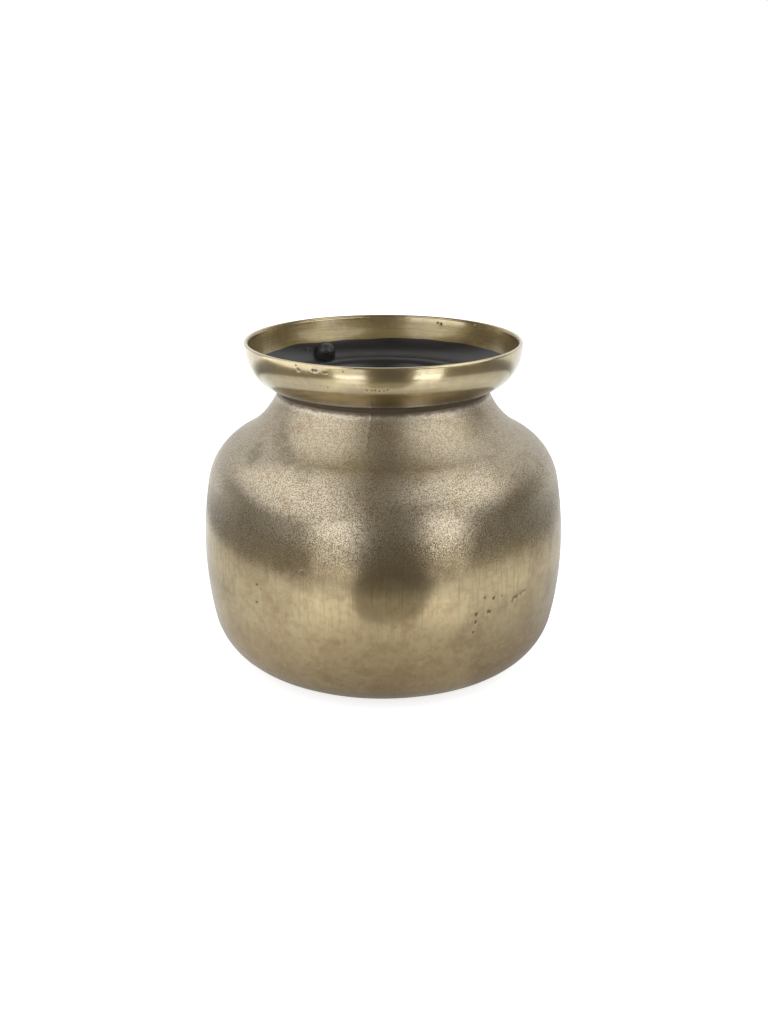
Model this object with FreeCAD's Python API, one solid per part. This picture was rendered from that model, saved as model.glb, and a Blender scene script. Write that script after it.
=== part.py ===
import FreeCAD
import Part
import os
from collections import namedtuple
from math import acos, asin, cos, degrees, hypot, radians, sin

# Squat cast aluminium planter with a flared collar, in millimetres and degrees.
# Its axis is Z, the floor is z = 0 and its front faces -Y.
# Three castings (bowl, shoulder and collar) are located by a tongue and a spigot, and welded.
# Heights are measured from the floor, drops from the lip and radii from the axis.
# A lean is a wall's slope from upright.

# Outside shape
HEIGHT = 330.0
GIRTH_RADIUS = 180.0
GIRTH_HEIGHT = 127.0
FOOT_RADIUS = 107.5
BOWL_LEAN = 12.0
BELLY_LEAN = 9.7
SHOULDER_ROUND = 62.5
SHOULDER_LEAN = 61.8
NECK_RADIUS = 102.7
NECK_DROP = 46.0
NECK_LEAN = 18.5
COLLAR_RADIUS = 136.4
COLLAR_DROP = 4.8
LIP_ROUND = 2.0

# Castings
WALL = 4.5
COLLAR_WALL = 5.5
SPIGOT_WALL = 3.0
SPIGOT_LENGTH = 8.0
THROAT_ROUND = 12.0
TONGUE_HEIGHT = 6.0
FIT_CLEARANCE = 0.15

# Welds: a V groove filled flush round the girth, and a fillet in the crease under the collar
GROOVE_DEPTH = 2.0
GROOVE_HALF_WIDTH = 2.0
GROOVE_LAND = 0.8
FILLET_LEG = 3.5
FILLET_BULGE = 0.4

# Black coat inside, from an edge below the lip down to the floor of the bowl
COAT = 0.8
COAT_EDGE_DROP = 22.8

# Round lump on the collar's inner wall, turned from the back towards the left
LUMP_RADIUS = 10.5
LUMP_DROP = 34.5
LUMP_STAND = 3.0
LUMP_TURN = 32.7

# Felt pads under the foot
PAD_RADIUS = 10.0
PAD_THICKNESS = 2.0
PAD_INSET = 12.0
PAD_COUNT = 4
PAD_FIRST_TURN = 45.0

AXIS = FreeCAD.Vector(0, 0, 1)
ORIGIN = FreeCAD.Vector(0, 0, 0)
FULL_TURN = 360.0
BACK_TURN = 90.0  # from the section's plane, along +X, to the back
SAME_POINT = 1e-6

# An arc of the section. Its radius is negative where the outside is hollow.
SectionArc = namedtuple("SectionArc", "r z radius")


def point(r, z):
    """Point of the section, at a radius and a height."""
    return FreeCAD.Vector(r, 0, z)


def on_arc(arc, angle, inset=0.0):
    """Point where the outward normal rises by this angle, moved into the wall by inset."""
    reach = arc.radius - inset
    return point(arc.r + reach * cos(radians(angle)), arc.z + reach * sin(radians(angle)))


def angle_at_height(arc, z, inset=0.0):
    """Angle of the normal where the arc, moved in by inset, is at this height."""
    return degrees(asin((z - arc.z) / (arc.radius - inset)))


def angle_at_radius(arc, r, inset=0.0):
    """Angle of the normal where the lower half of the arc, moved in by inset, is at this radius."""
    return -degrees(acos((r - arc.r) / (arc.radius - inset)))


def stretch(arc, start, end, inset=0.0):
    """Piece of an arc between two angles of its normal, moved in by inset."""
    angles = (start, (start + end) / 2, end)
    return Part.Arc(*(on_arc(arc, angle, inset) for angle in angles))


def touching(arc, angle, radius):
    """Arc of another radius that runs on from this one at the given angle."""
    start = on_arc(arc, angle)
    return SectionArc(start.x - radius * cos(radians(angle)), start.z - radius * sin(radians(angle)), radius)


def solve_pair(first, second):
    """The two unknowns of a pair of linear equations, each given as (factor, factor, total)."""
    (a, b, e), (c, d, f) = first, second
    det = a * d - b * c
    return (e * d - b * f) / det, (a * f - e * c) / det


def turned(*steps):
    """Solid turned about Z from a section of points and arcs, joined in order by straight lines."""
    edges = []
    ends = [(s, s) if isinstance(s, FreeCAD.Vector) else (s.StartPoint, s.EndPoint) for s in steps]
    for i, step in enumerate(steps):
        if not isinstance(step, FreeCAD.Vector):
            edges.append(step.toShape())
        here, there = ends[i][1], ends[(i + 1) % len(steps)][0]
        if here.distanceToPoint(there) > SAME_POINT:
            edges.append(Part.LineSegment(here, there).toShape())
    return Part.Face(Part.Wire(edges)).revolve(ORIGIN, AXIS, FULL_TURN)


# Arcs of the outside, from the foot up to the lip
FOOT_HEIGHT = PAD_THICKNESS
NECK_HEIGHT = HEIGHT - NECK_DROP
COLLAR_HEIGHT = HEIGHT - COLLAR_DROP
BOWL_SIN, BOWL_COS = sin(radians(BOWL_LEAN)), cos(radians(BOWL_LEAN))
FOOT_ROUND, BOWL_ROUND = solve_pair(
    (BOWL_COS, 1 - BOWL_COS, GIRTH_RADIUS - FOOT_RADIUS),
    (1 - BOWL_SIN, BOWL_SIN, GIRTH_HEIGHT - FOOT_HEIGHT),
)
BELLY_SIN, BELLY_COS = sin(radians(BELLY_LEAN)), cos(radians(BELLY_LEAN))
SHOULDER_SIN, SHOULDER_COS = sin(radians(SHOULDER_LEAN)), cos(radians(SHOULDER_LEAN))
NECK_SIN, NECK_COS = sin(radians(NECK_LEAN)), cos(radians(NECK_LEAN))
BELLY_ROUND, NECK_HOLLOW = solve_pair(
    (
        1 - BELLY_COS,
        NECK_COS - SHOULDER_COS,
        GIRTH_RADIUS - NECK_RADIUS - SHOULDER_ROUND * (BELLY_COS - SHOULDER_COS),
    ),
    (
        BELLY_SIN,
        SHOULDER_SIN - NECK_SIN,
        NECK_HEIGHT - GIRTH_HEIGHT - SHOULDER_ROUND * (SHOULDER_SIN - BELLY_SIN),
    ),
)
FOOT_ARC = SectionArc(FOOT_RADIUS, FOOT_HEIGHT + FOOT_ROUND, FOOT_ROUND)
BOWL_ARC = touching(FOOT_ARC, -BOWL_LEAN, BOWL_ROUND)
BELLY_ARC = touching(BOWL_ARC, 0, BELLY_ROUND)
SHOULDER_ARC = touching(BELLY_ARC, BELLY_LEAN, SHOULDER_ROUND)
NECK_ARC = touching(SHOULDER_ARC, SHOULDER_LEAN, -NECK_HOLLOW)

COLLAR_RISE = NECK_DROP - COLLAR_DROP
COLLAR_FLARE = COLLAR_RADIUS - NECK_RADIUS
COLLAR_ROUND = hypot(COLLAR_RISE, COLLAR_FLARE) ** 2 / (2 * COLLAR_FLARE)
COLLAR_ARC = SectionArc(COLLAR_RADIUS - COLLAR_ROUND, COLLAR_HEIGHT, COLLAR_ROUND)
COLLAR_LEAN = -angle_at_radius(COLLAR_ARC, NECK_RADIUS)

# Where the castings locate in each other
TONGUE_RADIUS = GIRTH_RADIUS - GROOVE_DEPTH - GROOVE_LAND
TONGUE_TOP = GIRTH_HEIGHT + TONGUE_HEIGHT
TONGUE_ANGLE = angle_at_height(BELLY_ARC, TONGUE_TOP, WALL)
REBATE_TOP = TONGUE_TOP + FIT_CLEARANCE
REBATE_ANGLE = angle_at_height(BELLY_ARC, REBATE_TOP, WALL)
GROOVE_ROOT = point(GIRTH_RADIUS - GROOVE_DEPTH, GIRTH_HEIGHT)
GROOVE_LOW = angle_at_height(BOWL_ARC, GIRTH_HEIGHT - GROOVE_HALF_WIDTH)
GROOVE_HIGH = angle_at_height(BELLY_ARC, GIRTH_HEIGHT + GROOVE_HALF_WIDTH)
NECK_INNER_ANGLE = angle_at_height(NECK_ARC, NECK_HEIGHT, WALL)
NECK_BORE = on_arc(NECK_ARC, NECK_INNER_ANGLE, WALL).x
SPIGOT_RADIUS = NECK_BORE - FIT_CLEARANCE
SPIGOT_BORE = SPIGOT_RADIUS - SPIGOT_WALL
SPIGOT_END = NECK_HEIGHT - SPIGOT_LENGTH
LEDGE_ANGLE = angle_at_height(NECK_ARC, SPIGOT_END, WALL)
COAT_EDGE_ANGLE = angle_at_height(COLLAR_ARC, HEIGHT - COAT_EDGE_DROP, COLLAR_WALL)

# Rounding where the collar's inner face turns down into the spigot
THROAT_ANGLE = angle_at_radius(COLLAR_ARC, SPIGOT_BORE + THROAT_ROUND, COLLAR_WALL - THROAT_ROUND)
THROAT_CENTRE = on_arc(COLLAR_ARC, THROAT_ANGLE, COLLAR_WALL - THROAT_ROUND)
THROAT_ARC = SectionArc(THROAT_CENTRE.x, THROAT_CENTRE.z, -THROAT_ROUND)

# Edges of the fillet weld on the two castings
NECK_TOE = NECK_LEAN + degrees(FILLET_LEG / NECK_HOLLOW)
COLLAR_TOE = degrees(FILLET_LEG / COLLAR_ROUND) - COLLAR_LEAN


def lower_bowl():
    """Casting from the foot to the girth, with a tongue that locates the shoulder."""
    return turned(
        point(0, FOOT_HEIGHT),
        stretch(FOOT_ARC, -90, -BOWL_LEAN),
        stretch(BOWL_ARC, -BOWL_LEAN, GROOVE_LOW),
        GROOVE_ROOT,
        point(TONGUE_RADIUS, GIRTH_HEIGHT),
        point(TONGUE_RADIUS, TONGUE_TOP),
        stretch(BELLY_ARC, TONGUE_ANGLE, 0, WALL),
        stretch(BOWL_ARC, 0, -BOWL_LEAN, WALL),
        stretch(FOOT_ARC, -BOWL_LEAN, -90, WALL),
        point(0, FOOT_HEIGHT + WALL),
    )


def shoulder_shell():
    """Casting from the girth to the neck, with a rebate over the bowl's tongue."""
    rebate_radius = TONGUE_RADIUS + FIT_CLEARANCE
    return turned(
        GROOVE_ROOT,
        stretch(BELLY_ARC, GROOVE_HIGH, BELLY_LEAN),
        stretch(SHOULDER_ARC, BELLY_LEAN, SHOULDER_LEAN),
        stretch(NECK_ARC, SHOULDER_LEAN, NECK_TOE),
        stretch(NECK_ARC, NECK_TOE, NECK_LEAN),
        stretch(NECK_ARC, NECK_INNER_ANGLE, LEDGE_ANGLE, WALL),
        stretch(NECK_ARC, LEDGE_ANGLE, SHOULDER_LEAN, WALL),
        stretch(SHOULDER_ARC, SHOULDER_LEAN, BELLY_LEAN, WALL),
        stretch(BELLY_ARC, BELLY_LEAN, REBATE_ANGLE, WALL),
        point(rebate_radius, REBATE_TOP),
        point(rebate_radius, GIRTH_HEIGHT),
    )


def girth_weld():
    """Weld that fills the groove between bowl and shoulder, ground flush with both."""
    return turned(
        GROOVE_ROOT,
        stretch(BOWL_ARC, GROOVE_LOW, 0),
        stretch(BELLY_ARC, 0, GROOVE_HIGH),
    )


def rim_collar():
    """Flared collar with a rounded lip, seated on the neck and located by a spigot inside it."""
    round_z = HEIGHT - LIP_ROUND
    outer_angle = angle_at_height(COLLAR_ARC, round_z, LIP_ROUND)
    inner_angle = angle_at_height(COLLAR_ARC, round_z, COLLAR_WALL - LIP_ROUND)
    outer_round = SectionArc(on_arc(COLLAR_ARC, outer_angle, LIP_ROUND).x, round_z, LIP_ROUND)
    inner_round = SectionArc(on_arc(COLLAR_ARC, inner_angle, COLLAR_WALL - LIP_ROUND).x, round_z, LIP_ROUND)
    return turned(
        stretch(COLLAR_ARC, -COLLAR_LEAN, COLLAR_TOE),
        stretch(COLLAR_ARC, COLLAR_TOE, outer_angle),
        stretch(outer_round, outer_angle, 90),
        stretch(inner_round, 90, 180 + inner_angle),
        stretch(COLLAR_ARC, inner_angle, COAT_EDGE_ANGLE, COLLAR_WALL),
        stretch(COLLAR_ARC, COAT_EDGE_ANGLE, THROAT_ANGLE, COLLAR_WALL),
        stretch(THROAT_ARC, THROAT_ANGLE, 0),
        point(SPIGOT_BORE, SPIGOT_END),
        point(SPIGOT_RADIUS, SPIGOT_END),
        point(SPIGOT_RADIUS, NECK_HEIGHT),
    )


def neck_weld():
    """Fillet weld in the crease, laid against the collar and the shoulder."""
    collar_toe = on_arc(COLLAR_ARC, COLLAR_TOE)
    neck_toe = on_arc(NECK_ARC, NECK_TOE)
    middle = (collar_toe + neck_toe) / 2
    outward = (middle - point(NECK_RADIUS, NECK_HEIGHT)).normalize()
    return turned(
        stretch(NECK_ARC, NECK_LEAN, NECK_TOE),
        Part.Arc(neck_toe, middle + outward * FILLET_BULGE, collar_toe),
        stretch(COLLAR_ARC, COLLAR_TOE, -COLLAR_LEAN),
    )


def coat_face(top_angle):
    """Steps along the coat's inner face, from the bowl's floor up the collar to the given angle."""
    depth = WALL + COAT
    ledge = SPIGOT_END - COAT
    throat = SPIGOT_BORE - COAT
    collar_depth = COLLAR_WALL + COAT
    return [
        point(0, FOOT_HEIGHT + depth),
        stretch(FOOT_ARC, -90, -BOWL_LEAN, depth),
        stretch(BOWL_ARC, -BOWL_LEAN, 0, depth),
        stretch(BELLY_ARC, 0, BELLY_LEAN, depth),
        stretch(SHOULDER_ARC, BELLY_LEAN, SHOULDER_LEAN, depth),
        stretch(NECK_ARC, SHOULDER_LEAN, angle_at_height(NECK_ARC, ledge, depth), depth),
        point(throat, ledge),
        stretch(THROAT_ARC, 0, THROAT_ANGLE, COAT),
        stretch(COLLAR_ARC, THROAT_ANGLE, top_angle, collar_depth),
    ]


def waterproof_coat():
    """Black coat on the inner faces of the castings, ending in an edge below the lip."""
    return turned(
        *coat_face(COAT_EDGE_ANGLE),
        stretch(COLLAR_ARC, COAT_EDGE_ANGLE, THROAT_ANGLE, COLLAR_WALL),
        stretch(THROAT_ARC, THROAT_ANGLE, 0),
        point(SPIGOT_BORE, SPIGOT_END),
        stretch(NECK_ARC, LEDGE_ANGLE, SHOULDER_LEAN, WALL),
        stretch(SHOULDER_ARC, SHOULDER_LEAN, BELLY_LEAN, WALL),
        stretch(BELLY_ARC, BELLY_LEAN, REBATE_ANGLE, WALL),
        stretch(BELLY_ARC, REBATE_ANGLE, TONGUE_ANGLE, WALL),
        stretch(BELLY_ARC, TONGUE_ANGLE, 0, WALL),
        stretch(BOWL_ARC, 0, -BOWL_LEAN, WALL),
        stretch(FOOT_ARC, -BOWL_LEAN, -90, WALL),
        point(0, FOOT_HEIGHT + WALL),
    )


def casting_lump():
    """Round lump that stands on the coat inside the collar."""
    depth = COLLAR_WALL + COAT
    seat_angle = angle_at_height(COLLAR_ARC, HEIGHT - LUMP_DROP, depth)
    ball = Part.makeSphere(LUMP_RADIUS, on_arc(COLLAR_ARC, seat_angle, depth + LUMP_STAND))
    hollow = turned(*coat_face(0), point(0, COLLAR_HEIGHT))
    lump = ball.common(hollow)
    lump.rotate(ORIGIN, AXIS, BACK_TURN + LUMP_TURN)
    return lump


def felt_pads():
    """Round pads on a circle under the foot."""
    circle_radius = FOOT_RADIUS - PAD_INSET - PAD_RADIUS
    pads = []
    for i in range(PAD_COUNT):
        pad = Part.makeCylinder(PAD_RADIUS, PAD_THICKNESS, point(circle_radius, 0))
        pad.rotate(ORIGIN, AXIS, PAD_FIRST_TURN + i * FULL_TURN / PAD_COUNT)
        pads.append(pad)
    return Part.makeCompound(pads)


PIECES = (
    lower_bowl,
    shoulder_shell,
    girth_weld,
    rim_collar,
    neck_weld,
    waterproof_coat,
    casting_lump,
    felt_pads,
)

os.makedirs("parts", exist_ok=True)
for make in PIECES:
    shape = make()
    shape.exportStep(f"parts/{make.__name__}.step")
    print(make.__name__, shape.isValid(), len(shape.Solids), round(shape.Volume), "mm3")
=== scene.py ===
"""Looks of a squat cast aluminium planter in antique brass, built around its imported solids."""

from collections import namedtuple
from math import acos, asin, ceil, cos, degrees, hypot, pi, radians, sin

import bpy
import numpy as np
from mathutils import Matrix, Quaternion, Vector, noise


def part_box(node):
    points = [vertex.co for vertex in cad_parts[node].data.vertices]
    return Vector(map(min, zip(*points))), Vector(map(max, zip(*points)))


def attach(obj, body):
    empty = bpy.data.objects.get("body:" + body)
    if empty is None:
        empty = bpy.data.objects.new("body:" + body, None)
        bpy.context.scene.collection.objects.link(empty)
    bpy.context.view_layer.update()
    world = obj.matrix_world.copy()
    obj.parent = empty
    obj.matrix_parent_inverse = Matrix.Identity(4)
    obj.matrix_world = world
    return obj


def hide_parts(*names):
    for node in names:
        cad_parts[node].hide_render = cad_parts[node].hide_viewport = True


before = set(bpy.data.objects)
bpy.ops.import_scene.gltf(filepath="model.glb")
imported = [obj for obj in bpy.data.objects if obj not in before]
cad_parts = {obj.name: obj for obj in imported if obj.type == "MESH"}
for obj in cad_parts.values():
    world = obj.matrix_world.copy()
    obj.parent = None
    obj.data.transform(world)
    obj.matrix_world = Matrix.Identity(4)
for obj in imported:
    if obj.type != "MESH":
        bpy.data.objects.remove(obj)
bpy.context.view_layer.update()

# Driving dimensions of the section, as in the solids: metres and degrees
MM = 0.001
HEIGHT = 330 * MM
GIRTH_RADIUS = 180 * MM
GIRTH_HEIGHT = 127 * MM
FOOT_RADIUS = 107.5 * MM
FOOT_HEIGHT = 2 * MM
BOWL_LEAN = 12.0
BELLY_LEAN = 9.7
SHOULDER_ROUND = 62.5 * MM
SHOULDER_LEAN = 61.8
NECK_RADIUS = 102.7 * MM
NECK_HEIGHT = HEIGHT - 46 * MM
NECK_LEAN = 18.5
COLLAR_RADIUS = 136.4 * MM
COLLAR_HEIGHT = HEIGHT - 4.8 * MM
LIP_ROUND = 2 * MM
WALL = 4.5 * MM
COLLAR_WALL = 5.5 * MM
SPIGOT_WALL = 3 * MM
SPIGOT_LENGTH = 8 * MM
THROAT_ROUND = 12 * MM
FIT_CLEARANCE = 0.15 * MM
TONGUE_HEIGHT = 6 * MM
GROOVE_DEPTH = 2 * MM
GROOVE_HALF_WIDTH = 2 * MM
GROOVE_LAND = 0.8 * MM
FILLET_LEG = 3.5 * MM
FILLET_BULGE = 0.4 * MM
COAT = 0.8 * MM
COAT_EDGE = HEIGHT - 22.8 * MM
LUMP_RADIUS = 10.5 * MM
LUMP_DROP = 34.5 * MM
LUMP_STAND = 3 * MM
LUMP_TURN = -(180 - 32.7)
PAD_RADIUS = 10 * MM
PAD_EDGE = 0.6 * MM

# Mesh steps
BODY_SEGMENTS = 640
COLLAR_SEGMENTS = 720
COAT_SEGMENTS = 600
LUMP_SEGMENTS = 72
LUMP_ROWS = 40
PAD_SEGMENTS = 64
BEAD_STEPS = 11
EDGE_STEPS = 9
FINE = 1.6 * MM
FINER = 0.9 * MM
LIP_STEP = 0.35 * MM
COARSE = 9 * MM
TINY = 1e-6

# Section

Arc = namedtuple("Arc", "r z radius")


def on_arc(arc, angle, inset=0.0):
    """Point where the outward normal rises by this angle, moved into the wall by inset."""
    reach = arc.radius - inset
    return arc.r + reach * cos(radians(angle)), arc.z + reach * sin(radians(angle))


def angle_at_height(arc, z, inset=0.0):
    """Angle of the normal where the arc, moved in by inset, is at this height."""
    return degrees(asin((z - arc.z) / (arc.radius - inset)))


def angle_at_radius(arc, r, inset=0.0):
    """Angle of the normal where the lower half of the arc, moved in by inset, is at this radius."""
    return -degrees(acos((r - arc.r) / (arc.radius - inset)))


def touching(arc, angle, radius):
    """Arc of another radius that runs on from this one at the given angle."""
    r, z = on_arc(arc, angle)
    return Arc(r - radius * cos(radians(angle)), z - radius * sin(radians(angle)), radius)


def stretch(arc, start, end, step, inset=0.0):
    """Points along an arc between two angles of its normal, about step apart."""
    length = abs(radians(end - start) * (arc.radius - inset))
    count = max(2, ceil(length / step) + 1)
    return [on_arc(arc, angle, inset) for angle in np.linspace(start, end, count)]


def line(start, end, step=COARSE):
    """Points along a straight line of the section, about step apart."""
    count = max(2, ceil(hypot(end[0] - start[0], end[1] - start[1]) / step) + 1)
    return np.linspace(start, end, count).tolist()


def joined(*parts):
    """One smooth run of points, without the doubled ends of its parts."""
    points = list(parts[0])
    for part in parts[1:]:
        points.extend(part[1:])
    return points


BOWL_SIN, BOWL_COS = sin(radians(BOWL_LEAN)), cos(radians(BOWL_LEAN))
BELLY_SIN, BELLY_COS = sin(radians(BELLY_LEAN)), cos(radians(BELLY_LEAN))
SHOULDER_SIN, SHOULDER_COS = sin(radians(SHOULDER_LEAN)), cos(radians(SHOULDER_LEAN))
NECK_SIN, NECK_COS = sin(radians(NECK_LEAN)), cos(radians(NECK_LEAN))
FOOT_ROUND, BOWL_ROUND = np.linalg.solve(
    [[BOWL_COS, 1 - BOWL_COS], [1 - BOWL_SIN, BOWL_SIN]],
    [GIRTH_RADIUS - FOOT_RADIUS, GIRTH_HEIGHT - FOOT_HEIGHT],
)
BELLY_ROUND, NECK_HOLLOW = np.linalg.solve(
    [[1 - BELLY_COS, NECK_COS - SHOULDER_COS], [BELLY_SIN, SHOULDER_SIN - NECK_SIN]],
    [
        GIRTH_RADIUS - NECK_RADIUS - SHOULDER_ROUND * (BELLY_COS - SHOULDER_COS),
        NECK_HEIGHT - GIRTH_HEIGHT - SHOULDER_ROUND * (SHOULDER_SIN - BELLY_SIN),
    ],
)
FOOT_ARC = Arc(FOOT_RADIUS, FOOT_HEIGHT + FOOT_ROUND, FOOT_ROUND)
BOWL_ARC = touching(FOOT_ARC, -BOWL_LEAN, BOWL_ROUND)
BELLY_ARC = touching(BOWL_ARC, 0, BELLY_ROUND)
SHOULDER_ARC = touching(BELLY_ARC, BELLY_LEAN, SHOULDER_ROUND)
NECK_ARC = touching(SHOULDER_ARC, SHOULDER_LEAN, -NECK_HOLLOW)
COLLAR_RISE = COLLAR_HEIGHT - NECK_HEIGHT
COLLAR_FLARE = COLLAR_RADIUS - NECK_RADIUS
COLLAR_ROUND = hypot(COLLAR_RISE, COLLAR_FLARE) ** 2 / (2 * COLLAR_FLARE)
COLLAR_ARC = Arc(COLLAR_RADIUS - COLLAR_ROUND, COLLAR_HEIGHT, COLLAR_ROUND)
COLLAR_LEAN = -angle_at_radius(COLLAR_ARC, NECK_RADIUS)

TONGUE_RADIUS = GIRTH_RADIUS - GROOVE_DEPTH - GROOVE_LAND
TONGUE_TOP = GIRTH_HEIGHT + TONGUE_HEIGHT
GROOVE_ROOT = (GIRTH_RADIUS - GROOVE_DEPTH, GIRTH_HEIGHT)
GROOVE_LOW = angle_at_height(BOWL_ARC, GIRTH_HEIGHT - GROOVE_HALF_WIDTH)
GROOVE_HIGH = angle_at_height(BELLY_ARC, GIRTH_HEIGHT + GROOVE_HALF_WIDTH)
NECK_INNER_ANGLE = angle_at_height(NECK_ARC, NECK_HEIGHT, WALL)
SPIGOT_RADIUS = on_arc(NECK_ARC, NECK_INNER_ANGLE, WALL)[0] - FIT_CLEARANCE
SPIGOT_BORE = SPIGOT_RADIUS - SPIGOT_WALL
SPIGOT_END = NECK_HEIGHT - SPIGOT_LENGTH
NECK_TOE = NECK_LEAN + degrees(FILLET_LEG / NECK_HOLLOW)
COLLAR_TOE = degrees(FILLET_LEG / COLLAR_ROUND) - COLLAR_LEAN
COAT_LAP = 5 * MM
COAT_EDGE_ANGLE = angle_at_height(COLLAR_ARC, COAT_EDGE, COLLAR_WALL)
RIM_END_ANGLE = angle_at_height(COLLAR_ARC, COAT_EDGE - COAT_LAP, COLLAR_WALL)
TOE_HEIGHT = on_arc(NECK_ARC, NECK_TOE)[1] - 2.2 * MM
THROAT_INSET = COLLAR_WALL - THROAT_ROUND
THROAT_ANGLE = angle_at_radius(COLLAR_ARC, SPIGOT_BORE + THROAT_ROUND, THROAT_INSET)
THROAT_ARC = Arc(*on_arc(COLLAR_ARC, THROAT_ANGLE, THROAT_INSET), -THROAT_ROUND)

# Marks of the casting: turn from the front (right is positive), height, radius and depth in mm
BODY_PITS = (
    (31.4, 118.5, 1.3, 0.35),
    (34.7, 116.2, 1.7, 0.45),
    (37.8, 116.0, 1.2, 0.30),
    (28.6, 103.7, 2.2, 0.70),
    (33.1, 103.6, 2.1, 0.60),
    (28.6, 96.0, 1.7, 0.50),
    (27.9, 86.1, 1.6, 0.45),
    (-40.8, 125.7, 1.6, 0.40),
    (-39.2, 121.9, 1.3, 0.30),
    (-41.2, 107.2, 1.3, 0.40),
    (-43.5, 166.5, 1.9, 0.40),
    (-24.3, 147.7, 1.7, 0.35),
)
COLLAR_PITS = (
    (-35.4, 327.0, 1.3, 0.45),
    (-34.5, 324.2, 1.0, 0.40),
    (-34.2, 322.6, 1.2, 0.50),
    (-27.6, 324.4, 1.4, 0.50),
    (-26.4, 324.2, 1.6, 0.55),
    (-23.0, 323.5, 1.3, 0.40),
    (-21.9, 323.3, 1.2, 0.40),
    (-15.3, 326.0, 1.0, 0.25),
    (-21.9, 309.2, 1.2, 0.40),
    (-6.3, 309.0, 1.2, 0.35),
    (-4.4, 309.3, 1.1, 0.40),
    (-3.2, 309.0, 1.3, 0.40),
    (-1.6, 308.2, 1.2, 0.40),
    (0.2, 308.4, 1.1, 0.35),
    (1.5, 309.8, 1.2, 0.35),
)
RIM_PITS = ((154.0, 323.6, 1.5, 0.5), (152.4, 323.0, 1.7, 0.5), (133.3, 327.0, 1.4, 0.4))

# Bubble in the coat: turn, height, radius and how far it stands out
BUBBLE = (-139.2, 301.0, 3.0, 1.3)

# Lines on the body through stops: turn and height in mm
CRACK = ((42.2, 107.6), (42.9, 110.2), (44.8, 111.3), (48.1, 113.5))
FLASH = ((-6.0, 279.0), (-6.5, 273.0), (-6.2, 269.0), (-7.2, 264.0), (-6.9, 259.0), (-7.5, 253.0))
STAINS = (
    ((-56.3, 256.0), (-47.0, 246.0), (-38.0, 238.0)),
    ((-30.0, 233.0), (-27.4, 229.0)),
    ((-60.0, 239.0), (-55.0, 233.0)),
)
CRACK_DEPTH = 0.3 * MM
CRACK_SPOT = 1.1 * MM
CRACK_SPOTS = 6
FLASH_HEIGHT = 0.14 * MM
LINE_REACH = 1.7 * MM
STAIN_REACH = 12 * MM

# Unevenness: height and size of its waves, and a shift that sets their patterns apart
Wave = namedtuple("Wave", "height size shift")
BODY_WAVES = (Wave(0.20 * MM, 55 * MM, 0.0), Wave(0.05 * MM, 20 * MM, 7.0))
CAST_WAVES = (Wave(0.025 * MM, 7.5 * MM, 3.0), Wave(0.03 * MM, 3.4 * MM, 5.0))
TOE_WAVE = Wave(0.25 * MM, 4.5 * MM, 13.0)
COLLAR_WAVE = Wave(0.06 * MM, 45 * MM, 11.0)
RIM_WAVE = Wave(0.06 * MM, 30 * MM, 19.0)
BEAD_WAVE = Wave(0.15 * MM, 4 * MM, 23.0)
COAT_WAVE = Wave(0.05 * MM, 20 * MM, 31.0)
EDGE_WAVES = (Wave(2.0 * MM, 30 * MM, 3.3), Wave(0.25 * MM, 8 * MM, 8.1))
LUMP_WAVE = Wave(0.35 * MM, 8 * MM, 41.0)
FELT_WAVE = Wave(0.12 * MM, 1.8 * MM, 5.0)
RIPPLE_DRIFT = Wave(2.0, 20 * MM, 2.0)
RIPPLES = 62
RIPPLE_HEIGHT = 0.10 * MM
CAST_FROM = 128 * MM
CAST_FULL = 165 * MM
TOE_RIDGE = 0.3 * MM
TOE_REACH = 3 * MM
LIP_EASE = 2.1 * MM
LIP_EASE_DEPTH = 16 * MM
LIP_CROWN = 2.5 * MM
LIP_INSIDE = 4.5 * MM
EDGE_DIP = 1.3 * MM
EDGE_REACH = 16 * MM
LUMP_FLARE = 1.4 * MM
LUMP_FLARE_REACH = 4 * MM
LUMP_SINK = 0.2 * MM


def smooth(value, low, high):
    """Smooth step from 0 at low to 1 at high."""
    t = np.clip((value - low) / (high - low), 0, 1)
    return t * t * (3 - 2 * t)


def wobble(points, size, shift=0.0):
    """Smooth noise, about -1 to 1, with features of the given size."""
    flat = (points / size + shift).reshape(-1, 3).tolist()
    return np.array([noise.noise(p) for p in flat]).reshape(points.shape[:-1])


def waves(points, *each):
    """Sum of waves of noise."""
    return sum(wave.height * wobble(points, wave.size, wave.shift) for wave in each)


def place(arc, turn, z, inset=0.0):
    """Point of the surface on an arc, at a turn from the front and a height."""
    r, z = on_arc(arc, angle_at_height(arc, z, inset), inset)
    return np.array((r * sin(radians(turn)), -r * cos(radians(turn)), z))


def body_place(turn, z):
    """Point of the body's outside, at a turn from the front and a height."""
    arcs = (
        (GIRTH_HEIGHT, BOWL_ARC),
        (on_arc(BELLY_ARC, BELLY_LEAN)[1], BELLY_ARC),
        (on_arc(SHOULDER_ARC, SHOULDER_LEAN)[1], SHOULDER_ARC),
        (NECK_HEIGHT, NECK_ARC),
    )
    arc = next(a for top, a in arcs if z <= top)
    return place(arc, turn, z)


def body_line(stops):
    """Points of the body's outside at the stops of a line."""
    return [body_place(turn, z * MM) for turn, z in stops]


def collar_place(turn, z):
    """Point of the collar's outside, at a turn from the front and a height."""
    return place(COLLAR_ARC, turn, z)


def rim_place(turn, z):
    """Point of the collar's inside, at a turn from the front and a height."""
    return place(COLLAR_ARC, turn, z, COLLAR_WALL)


def dent(points, centre, radius):
    """1 in the middle of a round dent, 0 outside it."""
    near = np.linalg.norm(points - centre, axis=-1) / radius
    return 1 - smooth(near, 0.25, 1.0)


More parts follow.
